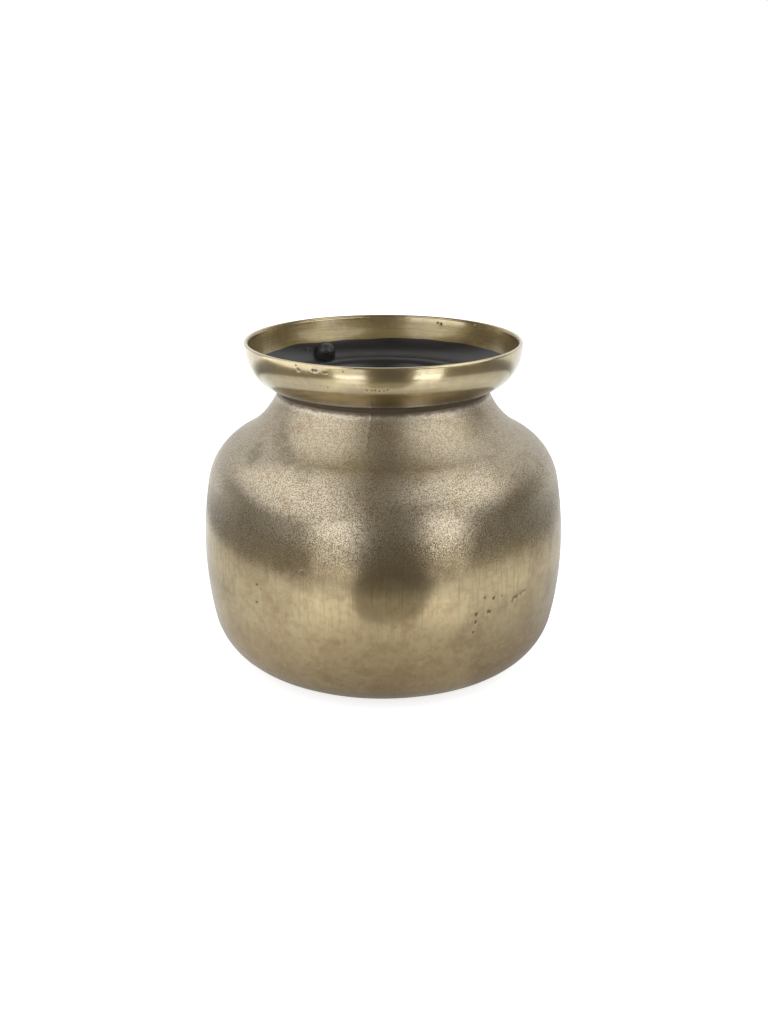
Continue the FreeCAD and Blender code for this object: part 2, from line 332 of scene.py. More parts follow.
def along(points, stops, radius):
    """1 on a line through the stops, falling to 0 at the radius from it."""
    best = np.full(points.shape[:-1], np.inf)
    for a, b in zip(stops, stops[1:]):
        t = np.clip(((points - a) @ (b - a)) / ((b - a) @ (b - a)), 0, 1)
        best = np.minimum(best, np.linalg.norm(points - a - t[..., None] * (b - a), axis=-1))
    return 1 - smooth(best / radius, 0.2, 1.0)


def pitted(points, pits, where):
    """Depth of a group of pits."""
    depth = np.zeros(points.shape[:-1])
    for turn, z, radius, deep in pits:
        shape = dent(points, where(turn, z * MM), radius * MM)
        depth = np.maximum(depth, shape * deep * MM)
    return depth


# Reliefs: how far points move out of the surface, their stain, and how far they slide up along it

Relief = namedtuple("Relief", "offset stain slide", defaults=(None, 0.0))


def body_relief(points):
    """Uneven casting, rough above the girth, with its pits, crack, flash line, toe and stains."""
    z = points[..., 2]
    offset = waves(points, *BODY_WAVES) + smooth(z, CAST_FROM, CAST_FULL) * waves(points, *CAST_WAVES)
    crack = along(points, body_line(CRACK), LINE_REACH)
    flash = along(points, body_line(FLASH), LINE_REACH)
    depth = np.maximum(pitted(points, BODY_PITS, body_place), CRACK_DEPTH * crack)
    offset += FLASH_HEIGHT * flash - depth
    toe = np.maximum(0, 1 - np.abs(z - TOE_HEIGHT) / TOE_REACH)
    offset += toe * (TOE_RIDGE + waves(points, TOE_WAVE))
    stain = np.zeros(z.shape)
    for stops in STAINS:
        stain = np.maximum(stain, along(points, body_line(stops), STAIN_REACH))
    return Relief(offset, stain)


def collar_relief(points):
    """Turned outside of the collar, nearly even, with casting pits."""
    return Relief(waves(points, COLLAR_WAVE) - pitted(points, COLLAR_PITS, collar_place))


def rim_relief(points):
    """Inside of the collar above the coat, eased towards the lip, with a few pits."""
    ease = np.clip(1 - (HEIGHT - points[..., 2]) / LIP_EASE_DEPTH, 0, 1)
    inner = smooth(COLLAR_RADIUS - np.hypot(points[..., 0], points[..., 1]), LIP_CROWN, LIP_INSIDE)
    offset = waves(points, RIM_WAVE) - pitted(points, RIM_PITS, rim_place)
    return Relief(offset - LIP_EASE * ease ** 2 * inner)


def weld_relief(points):
    """Ripples of the fillet weld."""
    turn = np.arctan2(points[..., 0], -points[..., 1])
    ripple = np.abs(np.sin(turn * RIPPLES + waves(points, RIPPLE_DRIFT)))
    return Relief(RIPPLE_HEIGHT * ripple + waves(points, BEAD_WAVE))


def coat_slide(points):
    """Downward shift of the coat near its wavy edge."""
    flat = points[..., :2] / np.linalg.norm(points[..., :2], axis=-1, keepdims=True)
    around = np.concatenate((NECK_RADIUS * flat, np.zeros(flat.shape[:-1] + (1,))), axis=-1)
    drop = EDGE_DIP + waves(around, *EDGE_WAVES)
    return -np.maximum(drop, 0) * smooth(points[..., 2], COAT_EDGE - EDGE_REACH, COAT_EDGE)


def coat_relief(points):
    """Uneven brushed coat, with a small bubble beside the lump."""
    turn, z, radius, tall = BUBBLE
    bubble = dent(points, place(COLLAR_ARC, turn, z * MM, COLLAR_WALL + COAT), radius * MM)
    return Relief(waves(points, COAT_WAVE) + tall * MM * bubble)


def funnel_relief(points):
    """Relief of the coat in the collar, up to its edge."""
    return Relief(coat_relief(points).offset, None, coat_slide(points))


def back_relief(points):
    """Hidden back of the coat, with the same edge."""
    return Relief(np.zeros(points.shape[:-1]), None, coat_slide(points))


# Meshes

def new_piece(name, verts, faces):
    """Object with a smooth mesh of these points and faces."""
    mesh = bpy.data.meshes.new(name)
    mesh.from_pydata(verts, [], faces)
    mesh.shade_smooth()
    piece = bpy.data.objects.new(name, mesh)
    bpy.context.scene.collection.objects.link(piece)
    return piece


def skin(verts, faces, rings, closed=False):
    """Adds the rings' points and the faces between them. A ring of no width becomes one point."""
    segments = len(rings[0])
    index = []
    for ring in rings:
        start = len(verts)
        if np.ptp(ring, axis=0).max() < TINY:
            verts.append(ring[0].tolist())
            index.append([start] * segments)
        else:
            verts.extend(ring.tolist())
            index.append(list(range(start, start + segments)))
    pairs = list(zip(index, index[1:]))
    if closed:
        pairs.append((index[-1], index[0]))
    for low, high in pairs:
        for j in range(segments):
            k = (j + 1) % segments
            face = (low[j], low[k], high[k], high[j])
            if low[j] == low[k]:
                face = (low[j], high[k], high[j])
            elif high[j] == high[k]:
                face = (low[j], low[k], high[j])
            faces.append(face)
    return index


def mesh_from_rings(name, rings, stain, edges, closed):
    """Object with faces between the rings, its stain as an attribute and sharp edges along some rings."""
    verts, faces = [], []
    index = skin(verts, faces, rings, closed)
    piece = new_piece(name, verts, faces)
    mesh = piece.data
    values = np.zeros(len(verts))
    for ring, soil in zip(index, stain):
        values[ring] = soil
    mesh.attributes.new("stain", "FLOAT", "POINT").data.foreach_set("value", values)
    edge_ring = np.full(len(verts), -1)
    for i in edges:
        edge_ring[index[i]] = i
    ends = np.empty(len(mesh.edges) * 2, int)
    mesh.edges.foreach_get("vertices", ends)
    ends = edge_ring[ends.reshape(-1, 2)]
    sharp = (ends[:, 0] == ends[:, 1]) & (ends[:, 0] >= 0)
    mesh.attributes.new("sharp_edge", "BOOLEAN", "EDGE").data.foreach_set("value", sharp)
    return piece


def lathe(name, runs, segments):
    """Closed turned mesh. Each run of section points is smooth and may have a relief. Runs meet in edges."""
    turn = np.linspace(-pi, pi, segments, endpoint=False)
    around = np.stack((np.sin(turn), -np.cos(turn)), axis=-1)
    rings, stain, edges = [], [], []
    closed = runs[0][0][0][0] > 0
    for number, (points, relief) in enumerate(runs):
        points = np.array(points, float)
        slope = np.gradient(points, axis=0)
        normal = np.column_stack((slope[:, 1], -slope[:, 0]))
        normal /= np.linalg.norm(normal, axis=1)[:, None]
        grid = np.empty((len(points), segments, 3))
        grid[..., :2] = points[:, 0, None, None] * around
        grid[..., 2] = points[:, 1, None]
        marks = np.zeros((len(points), segments))
        if relief:
            bumps = relief(grid)
            if bumps.stain is not None:
                marks = bumps.stain
            upward = slope / np.linalg.norm(slope, axis=1)[:, None] * np.sign(slope[:, 1:])
            shift = bumps.slide * np.ones(marks.shape)
            grid[..., :2] += (bumps.offset * normal[:, :1] + shift * upward[:, :1])[..., None] * around
            grid[..., 2] += bumps.offset * normal[:, 1:] + shift * upward[:, 1:]
        first = 0
        if number:
            edges.append(len(rings) - 1)
            first = 1
            if relief:
                rings[-1], stain[-1] = grid[0], marks[0]
        last = len(points)
        if closed and number == len(runs) - 1:
            last -= 1
            edges.append(0)
            if relief:
                rings[0], stain[0] = grid[-1], marks[-1]
        for i in range(first, last):
            rings.append(grid[i])
            stain.append(marks[i])
    return mesh_from_rings(name, rings, stain, edges, closed)


# Pieces

def make_bowl():
    """Lower casting: foot, buffed outside, tongue and inside."""
    outside = joined(
        stretch(FOOT_ARC, -90, -BOWL_LEAN, FINE),
        stretch(BOWL_ARC, -BOWL_LEAN, GROOVE_LOW, FINE),
    )
    tongue_angle = angle_at_height(BELLY_ARC, TONGUE_TOP, WALL)
    inside = joined(
        stretch(BELLY_ARC, tongue_angle, 0, COARSE, WALL),
        stretch(BOWL_ARC, 0, -BOWL_LEAN, COARSE, WALL),
        stretch(FOOT_ARC, -BOWL_LEAN, -90, COARSE, WALL),
        line((FOOT_RADIUS, FOOT_HEIGHT + WALL), (0, FOOT_HEIGHT + WALL), 3 * COARSE),
    )
    runs = [
        (joined(line((0, FOOT_HEIGHT), (FOOT_RADIUS, FOOT_HEIGHT), 2 * COARSE), outside), body_relief),
        (line(outside[-1], GROOVE_ROOT), None),
        (line(GROOVE_ROOT, (TONGUE_RADIUS, GIRTH_HEIGHT)), None),
        (line((TONGUE_RADIUS, GIRTH_HEIGHT), (TONGUE_RADIUS, TONGUE_TOP)), None),
        (line((TONGUE_RADIUS, TONGUE_TOP), inside[0]), None),
        (inside, None),
    ]
    return lathe("bowl", runs, BODY_SEGMENTS)


def make_girth_weld():
    """Weld ground flush between bowl and shoulder."""
    outside = joined(
        stretch(BOWL_ARC, GROOVE_LOW, 0, FINER),
        stretch(BELLY_ARC, 0, GROOVE_HIGH, FINER),
    )
    runs = [
        (line(GROOVE_ROOT, outside[0]), None),
        (outside, body_relief),
        (line(outside[-1], GROOVE_ROOT), None),
    ]
    return lathe("girth_seam", runs, BODY_SEGMENTS)


def make_shoulder():
    """Upper casting of the body, rough outside."""
    outside = joined(
        stretch(BELLY_ARC, GROOVE_HIGH, BELLY_LEAN, FINE),
        stretch(SHOULDER_ARC, BELLY_LEAN, SHOULDER_LEAN, FINE),
        stretch(NECK_ARC, SHOULDER_LEAN, NECK_LEAN, FINE),
    )
    rebate = TONGUE_RADIUS + FIT_CLEARANCE
    rebate_top = TONGUE_TOP + FIT_CLEARANCE
    inside = joined(
        stretch(NECK_ARC, NECK_INNER_ANGLE, SHOULDER_LEAN, COARSE, WALL),
        stretch(SHOULDER_ARC, SHOULDER_LEAN, BELLY_LEAN, COARSE, WALL),
        stretch(BELLY_ARC, BELLY_LEAN, angle_at_height(BELLY_ARC, rebate_top, WALL), COARSE, WALL),
    )
    runs = [
        (line(GROOVE_ROOT, outside[0]), None),
        (outside, body_relief),
        (line(outside[-1], inside[0]), None),
        (inside, None),
        (line(inside[-1], (rebate, rebate_top)), None),
        (line((rebate, rebate_top), (rebate, GIRTH_HEIGHT)), None),
        (line((rebate, GIRTH_HEIGHT), GROOVE_ROOT), None),
    ]
    return lathe("shoulder", runs, BODY_SEGMENTS)


def make_collar():
    """Flared collar with its rounded lip and spigot."""
    round_z = HEIGHT - LIP_ROUND
    inner_inset = COLLAR_WALL - LIP_ROUND
    outer_angle = angle_at_height(COLLAR_ARC, round_z, LIP_ROUND)
    inner_angle = angle_at_height(COLLAR_ARC, round_z, inner_inset)
    outer_round = Arc(on_arc(COLLAR_ARC, outer_angle, LIP_ROUND)[0], round_z, LIP_ROUND)
    inner_round = Arc(on_arc(COLLAR_ARC, inner_angle, inner_inset)[0], round_z, LIP_ROUND)
    outside = joined(
        stretch(COLLAR_ARC, -COLLAR_LEAN, outer_angle, FINER),
        stretch(outer_round, outer_angle, 90, LIP_STEP),
    )
    rim = joined(
        line(outside[-1], on_arc(inner_round, 90), LIP_STEP),
        stretch(inner_round, 90, 180 + inner_angle, LIP_STEP),
        stretch(COLLAR_ARC, inner_angle, RIM_END_ANGLE, FINER, COLLAR_WALL),
    )
    under_coat = joined(
        stretch(COLLAR_ARC, RIM_END_ANGLE, THROAT_ANGLE, COARSE, COLLAR_WALL),
        stretch(THROAT_ARC, THROAT_ANGLE, 0, COARSE),
        line((SPIGOT_BORE, THROAT_ARC.z), (SPIGOT_BORE, SPIGOT_END)),
    )
    runs = [
        (outside, collar_relief),
        (rim, rim_relief),
        (under_coat, None),
        (line((SPIGOT_BORE, SPIGOT_END), (SPIGOT_RADIUS, SPIGOT_END)), None),
        (line((SPIGOT_RADIUS, SPIGOT_END), (SPIGOT_RADIUS, NECK_HEIGHT)), None),
        (line((SPIGOT_RADIUS, NECK_HEIGHT), outside[0]), None),
    ]
    return lathe("collar", runs, COLLAR_SEGMENTS)


def make_neck_weld():
    """Fillet weld in the crease."""
    low = np.array(on_arc(NECK_ARC, NECK_TOE))
    high = np.array(on_arc(COLLAR_ARC, COLLAR_TOE))
    outward = (low + high) / 2 - np.array((NECK_RADIUS, NECK_HEIGHT))
    outward /= np.linalg.norm(outward)
    face = []
    for t in np.linspace(0, 1, BEAD_STEPS):
        bulge = FILLET_BULGE * 4 * t * (1 - t)
        face.append((low + (high - low) * t + outward * bulge).tolist())
    runs = [
        (stretch(NECK_ARC, NECK_LEAN, NECK_TOE, FINE), None),
        (face, weld_relief),
        (stretch(COLLAR_ARC, COLLAR_TOE, -COLLAR_LEAN, FINE), None),
    ]
    return lathe("neck_bead", runs, COAT_SEGMENTS)


def make_coat():
    """Black coat inside: its visible face, its edge below the lip and its hidden back."""
    depth = WALL + COAT
    collar_depth = COLLAR_WALL + COAT
    ledge = SPIGOT_END - COAT
    throat = SPIGOT_BORE - COAT
    well = joined(
        line((0, FOOT_HEIGHT + depth), (FOOT_RADIUS, FOOT_HEIGHT + depth), 2 * COARSE),
        stretch(FOOT_ARC, -90, -BOWL_LEAN, COARSE, depth),
        stretch(BOWL_ARC, -BOWL_LEAN, 0, COARSE, depth),
        stretch(BELLY_ARC, 0, BELLY_LEAN, COARSE, depth),
        stretch(SHOULDER_ARC, BELLY_LEAN, SHOULDER_LEAN, COARSE, depth),
        stretch(NECK_ARC, SHOULDER_LEAN, angle_at_height(NECK_ARC, ledge, depth), COARSE, depth),
    )
    funnel = joined(
        line((throat, ledge), (throat, THROAT_ARC.z), FINE),
        stretch(THROAT_ARC, 0, THROAT_ANGLE, FINER, COAT),
        stretch(COLLAR_ARC, THROAT_ANGLE, COAT_EDGE_ANGLE, FINER, collar_depth),
    )
    back = joined(
        stretch(NECK_ARC, angle_at_height(NECK_ARC, SPIGOT_END, WALL), SHOULDER_LEAN, COARSE, WALL),
        stretch(SHOULDER_ARC, SHOULDER_LEAN, BELLY_LEAN, COARSE, WALL),
        stretch(BELLY_ARC, BELLY_LEAN, 0, COARSE, WALL),
        stretch(BOWL_ARC, 0, -BOWL_LEAN, COARSE, WALL),
        stretch(FOOT_ARC, -BOWL_LEAN, -90, COARSE, WALL),
        line((FOOT_RADIUS, FOOT_HEIGHT + WALL), (0, FOOT_HEIGHT + WALL), 3 * COARSE),
    )
    hidden = joined(
        stretch(COLLAR_ARC, COAT_EDGE_ANGLE, THROAT_ANGLE, COARSE, COLLAR_WALL),
        stretch(THROAT_ARC, THROAT_ANGLE, 0, COARSE),
        line((SPIGOT_BORE, THROAT_ARC.z), (SPIGOT_BORE, SPIGOT_END)),
    )
    runs = [
        (well, coat_relief),
        (line(well[-1], (throat, ledge)), None),
        (funnel, funnel_relief),
        (line(funnel[-1], hidden[0]), None),
        (hidden, back_relief),
        (line((SPIGOT_BORE, SPIGOT_END), back[0]), None),
        (back, None),
    ]
    runs = [(points[::-1], relief) for points, relief in reversed(runs)]
    return lathe("inner_coat", runs, COAT_SEGMENTS)


def off_collar(points):
    """Points as steps out and up from the middle of the collar's arc, and their radius from the axis."""
    flat = np.linalg.norm(points[..., :2], axis=-1)
    return np.stack((flat - COLLAR_ARC.r, points[..., 2] - COLLAR_ARC.z), axis=-1), flat


def make_lump():
    """Round lump, flared where it meets the coat and cut off just behind the coat's face."""
    depth = COLLAR_WALL + COAT
    face = COLLAR_ARC.radius - depth
    seat = angle_at_height(COLLAR_ARC, HEIGHT - LUMP_DROP, depth)
    rise, run = sin(radians(seat)), cos(radians(seat))
    r, z = on_arc(COLLAR_ARC, seat, depth + LUMP_STAND)
    turn = radians(LUMP_TURN)
    side = np.array((cos(turn), sin(turn), 0))
    ahead = np.array((sin(turn) * run, -cos(turn) * run, rise))
    middle = np.array((sin(turn) * r, -cos(turn) * r, z))
    spin = np.linspace(0, 2 * pi, LUMP_SEGMENTS, endpoint=False)[:, None]
    sideways = np.cos(spin) * side + np.sin(spin) * np.cross(side, ahead)
    tilt = np.linspace(0, pi, LUMP_ROWS)[:, None, None]
    rings = middle + LUMP_RADIUS * (np.sin(tilt) * sideways - np.cos(tilt) * ahead)
    rings += waves(rings, LUMP_WAVE)[..., None] * (rings - middle) / LUMP_RADIUS
    off, flat = off_collar(rings)
    above = face - np.linalg.norm(off, axis=-1)
    flare = LUMP_FLARE * np.clip(1 - above / LUMP_FLARE_REACH, 0, 1) ** 2
    lateral = (rings - middle) - ((rings - middle) @ ahead)[..., None] * ahead
    width = np.maximum(np.linalg.norm(lateral, axis=-1), TINY)
    flare = np.where(width > LUMP_RADIUS / 2, flare, 0)
    rings += lateral * (flare / width)[..., None]
    off, flat = off_collar(rings)
    scale = np.minimum(1, (face + LUMP_SINK) / np.linalg.norm(off, axis=-1))
    rings[..., :2] *= ((COLLAR_ARC.r + off[..., 0] * scale) / flat)[..., None]
    rings[..., 2] = COLLAR_ARC.z + off[..., 1] * scale
    verts, faces = [], []
    skin(verts, faces, rings[::-1])
    return new_piece("lump", verts, faces)


def make_pads():
    """Four felt pads with soft edges under the foot."""
    low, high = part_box("felt_pads")
    tall = high.z - low.z
    circle = (high.x - PAD_RADIUS) * 2 ** 0.5
    core = PAD_RADIUS - PAD_EDGE
    section = [(0, 0), (PAD_RADIUS / 2, 0), (core, 0)]
    edge_start = len(section)
    for angle in np.linspace(-90, 90, EDGE_STEPS):
        z = PAD_EDGE if angle < 0 else tall - PAD_EDGE
        section.append((core + PAD_EDGE * cos(radians(angle)), z + PAD_EDGE * sin(radians(angle))))
    edge = slice(edge_start, len(section))
    section += [(PAD_RADIUS / 2, tall), (0, tall)]
    spin = np.linspace(0, 2 * pi, PAD_SEGMENTS, endpoint=False)
    unit = np.stack((np.cos(spin), np.sin(spin), 0 * spin), axis=-1)
    pad = np.array([r * unit + (0, 0, z) for r, z in section])
    verts, faces = [], []
    for quarter in range(4):
        turn = radians(45 + 90 * quarter)
        rings = pad + np.array((circle * cos(turn), circle * sin(turn), 0))
        fuzz = FELT_WAVE.height * wobble(rings, FELT_WAVE.size, FELT_WAVE.shift + quarter)
        rings[edge, :, :2] += fuzz[edge, :, None] * pad[edge, :, :2] / PAD_RADIUS
        skin(verts, faces, rings)
    return new_piece("pads", verts, faces)


# Materials

class Tree:
    """Short ways to add the nodes of one material or world."""

    def __init__(self, owner):
        owner.use_nodes = True
        self.tree = owner.node_tree
        self.tree.nodes.clear()

    def set(self, socket, value):
        """Links a socket to another, or sets its value."""
        if isinstance(value, bpy.types.NodeSocket):
            self.tree.links.new(value, socket)
        else:
            socket.default_value = value

    def add(self, kind, inputs=None, **settings):
        node = self.tree.nodes.new(kind)
        for name, value in settings.items():
            setattr(node, name, value)
        for name, value in (inputs or {}).items():
            self.set(node.inputs[name], value)
        return node

    def math(self, operation, a, b=0.0, c=0.0):
        return self.add("ShaderNodeMath", {0: a, 1: b, 2: c}, operation=operation).outputs[0]

    def plus(self, a, b):
        return self.math("ADD", a, b)

    def less(self, a, b):
        return self.math("SUBTRACT", a, b)

    def times(self, a, b):
        return self.math("MULTIPLY", a, b)

    def larger(self, a, b):
        return self.math("MAXIMUM", a, b)

    def swing(self, pattern, amount):
        """A pattern's departure from its middle, times an amount."""
        return self.times(self.less(pattern, 0.5), amount)

    def length(self, a, b):
        """Length of a line that goes a across and b up."""
        return self.math("SQRT", self.plus(self.times(a, a), self.times(b, b)))

    def vector(self, operation, *values):
        return self.add("ShaderNodeVectorMath", dict(enumerate(values)), operation=operation).outputs

    def distance(self, a, b):
        return self.vector("DISTANCE", a, b)["Value"]

    def ramp(self, value, low, high, bottom=0.0, top=1.0):
        """Smooth step of a value, from bottom at low to top at high."""
        inputs = {"Value": value, "From Min": low, "From Max": high, "To Min": bottom, "To Max": top}
        return self.add("ShaderNodeMapRange", inputs, interpolation_type="SMOOTHSTEP").outputs[0]

    def noise(self, vector, size, detail=2.0, roughness=0.5):
        """Noise with features of the given size in metres."""
        inputs = {"Vector": vector, "Scale": 1 / size, "Detail": detail, "Roughness": roughness}
        return self.add("ShaderNodeTexNoise", inputs).outputs["Fac"]

    def mix(self, factor, a, b):
        """Mix of two colours."""
        node = self.add("ShaderNodeMix", {0: factor}, data_type="RGBA")
        self.set(node.inputs[6], a)
        self.set(node.inputs[7], b)
        return node.outputs[2]

    def place(self):
        """Place on the object, and its x, y and z."""
        where = self.add("ShaderNodeTexCoord").outputs["Object"]
        return where, *self.split(where)

    def split(self, vector):
        return self.add("ShaderNodeSeparateXYZ", {0: vector}).outputs[:]

    def tall(self, vector, share):
        """Vector with its height scaled, so that a pattern is drawn out or flattened."""
        return self.add("ShaderNodeMapping", {"Vector": vector, "Scale": (1, 1, share)}).outputs[0]

    def lanes(self, x, y, z, share):
        """Vector whose patterns run round the axis. A smaller share draws them out more."""
        turn = self.math("ARCTAN2", x, self.times(y, -1.0))
        inputs = {0: self.length(x, y), 1: self.times(turn, share), 2: z}
        return self.add("ShaderNodeCombineXYZ", inputs).outputs[0]

    def bump(self, height, distance):
        inputs = {"Height": height, "Strength": 1.0, "Distance": distance}
        return self.add("ShaderNodeBump", inputs).outputs[0]

    def out(self, shader, kind="ShaderNodeOutputMaterial"):
        self.add(kind, {"Surface": shader.outputs[0]})


BRASS = (0.48, 0.395, 0.235, 1)
PALE = (0.56, 0.51, 0.42, 1)
PEAK = (0.465, 0.415, 0.33, 1)
HOLLOW = (0.13, 0.098, 0.060, 1)
# Dark brown: tarnish inside the rim, and painted shade on the collar's underside
TARNISH_AND_SHADE = (0.13, 0.10, 0.05, 1)
GOLD = (0.46, 0.37, 0.16, 1)
BROWN = (0.30, 0.215, 0.125, 1)
SOOT = (0.035, 0.026, 0.017, 1)
# Dark brown: dirt on the neck weld, and painted shade at the foot and in the crease
SOIL_AND_SHADE = (0.10, 0.072, 0.044, 1)
BLACKS = ((0.004, 0.004, 0.004, 1), (0.010, 0.010, 0.0095, 1))
# The lump's black, lighter than the coat that covers it: a painted highlight
LUMP_HIGHLIGHT_BLACKS = ((0.018, 0.018, 0.018, 1), (0.034, 0.034, 0.034, 1))
WOOLS = ((0.05, 0.047, 0.044, 1), (0.14, 0.132, 0.125, 1), (0.06, 0.056, 0.052, 1))

# Sizes of the patterns in the materials, and how far spots reach in shares of their radius
CLOUD_SIZE = 45 * MM
PATCH_SIZE = 24 * MM
SMEAR_SIZE = 13 * MM
MOTTLE_SIZE = 7 * MM
BRUSH_SIZE = 2.4 * MM
TURNING_SIZE = 1.1 * MM
GRAIN_SIZE = 1.05 * MM
RAGGED_SCALE = 520.0
RAGGED_REACH = 4 * MM
SPOT_OUTER = 1.25
SPOT_INNER = 0.45
COAT_BRUSH_SIZE = 2.8 * MM
COAT_CLOUD_SIZE = 20 * MM
HAIR_SIZE = 0.7 * MM
FELT_CLOUD_SIZE = 4 * MM

# Fades by place: where they begin and end, and how much there is at each, 0 and 1 if not given
BRUSHED = (80 * MM, 140 * MM, 0.2, 0.45)
# Foot: browner downwards, partly patina and partly painted shade, with painted shade on the right, a less
# brown band right of the middle, and painted contact shade at the bottom
PATINA_AND_SHADE = (104 * MM, 35 * MM, 0.0, 0.85)
CONTACT_SHADE = (32 * MM, 5 * MM, 0.0, 0.6)
LESS_BROWN_BAND = (18 * MM, 40 * MM, 0.40, 0.80)
LESS_BROWN_MIDDLE = 52 * MM
SHADED_RIGHT = (72 * MM, 92 * MM, 0.0, 0.58)
CAST_GRAIN = (132 * MM, 176 * MM)
CAST_DULL = (140 * MM, 200 * MM)
CAST_PEAKS = (150 * MM, 190 * MM)
CAST_WAVER = 30 * MM
CAST_ROUGH = (200 * MM, 250 * MM, 0.12, 0.17)
WORN = (210 * MM, 250 * MM, 1.0, 0.7)
# Neck's toe: a painted highlight on the grain peaks, and painted shade in the crease above it
TOE_HIGHLIGHT = (TOE_HEIGHT - 6.5 * MM, TOE_HEIGHT - 2 * MM)
CREASE_SHADE = (TOE_HEIGHT - 2.2 * MM, TOE_HEIGHT + 1.2 * MM, 0.0, 0.85)
TOE_RAGGED = 4 * MM
INNER_FACE = (COLLAR_ARC.radius - 2 * MM, COLLAR_ARC.radius - 4 * MM)
BELOW_LIP = (HEIGHT - 3 * MM, HEIGHT - 9 * MM)
# Collar's underside, browner towards the neck: painted shade
UNDERSIDE_SHADE = (NECK_HEIGHT + 16.5 * MM, NECK_HEIGHT + 4.5 * MM, 0.0, 0.78)

# Fades by the level of a pattern, from 0 to 1, in the same order
CLOUD_BROWN = (0.46, 0.72, 0.0, 0.45)
PATCH_BROWN = (0.48, 0.66, 0.0, 0.5)
PATCH_PEAKS = (0.48, 0.68, 1.0, 0.45)
MOTTLE_BROWN = (0.45, 0.75, 0.0, 0.4)
MOTTLE_PALE = (0.5, 0.2, 0.0, 0.25)
BRUSH_BROWN = (0.46, 0.70)
BRUSH_TARNISH = (0.3, 0.7, 0.28, 0.44)
SMEAR_BROWN = (0.30, 0.68, 0.3, 1.0)
GRAIN_HOLLOWS = (0.55, 0.43)
GRAIN_PEAKS = (0.45, 0.58, 0.1, 0.95)
GRAIN_PALE = (0.4, 0.6, 0.2, 0.9)
STAIN_SOOT = (0.3, 0.65, 0.08, 0.36)
WELD_SOIL = (0.3, 0.7, 0.85, 1.0)
WELD_DULL = (0.3, 0.7, 0.6, 0.95)
COAT_STREAKS = (0.3, 0.75)
FELT_HAIRS = (0.3, 0.7)
FELT_DUSK = (0.4, 0.8, 0.0, 0.4)

Finish = namedtuple("Finish", "roughness cast collar soiled", defaults=(False, False, False))


def spots_of(pits, where):
    """Places and radii of pits, for the materials."""
    return [(where(turn, z * MM), radius * MM) for turn, z, radius, deep in pits]


def crack_spots():
    """Small spots in a row along the crack."""
    stops = body_line(CRACK)
    spots = []
    for a, b in zip(stops, stops[1:]):
        for share in np.linspace(0, 1, CRACK_SPOTS):
            spots.append((a + (b - a) * share, CRACK_SPOT))
    return spots


def pit_mask(t, where, spots):
    """1 in the ragged spots, 0 outside them."""
    inputs = {"Vector": where, "Scale": RAGGED_SCALE, "Detail": 2.0}
    ragged = t.add("ShaderNodeTexNoise", inputs).outputs["Color"]
    ragged = t.vector("SUBTRACT", ragged, (0.5, 0.5, 0.5))[0]
    ragged = t.vector("MULTIPLY_ADD", ragged, (RAGGED_REACH,) * 3, where)[0]
    mask = None
    for centre, size in spots:
        spot = t.ramp(t.distance(ragged, tuple(centre)), SPOT_OUTER * size, SPOT_INNER * size)
        mask = spot if mask is None else t.larger(mask, spot)
    return mask


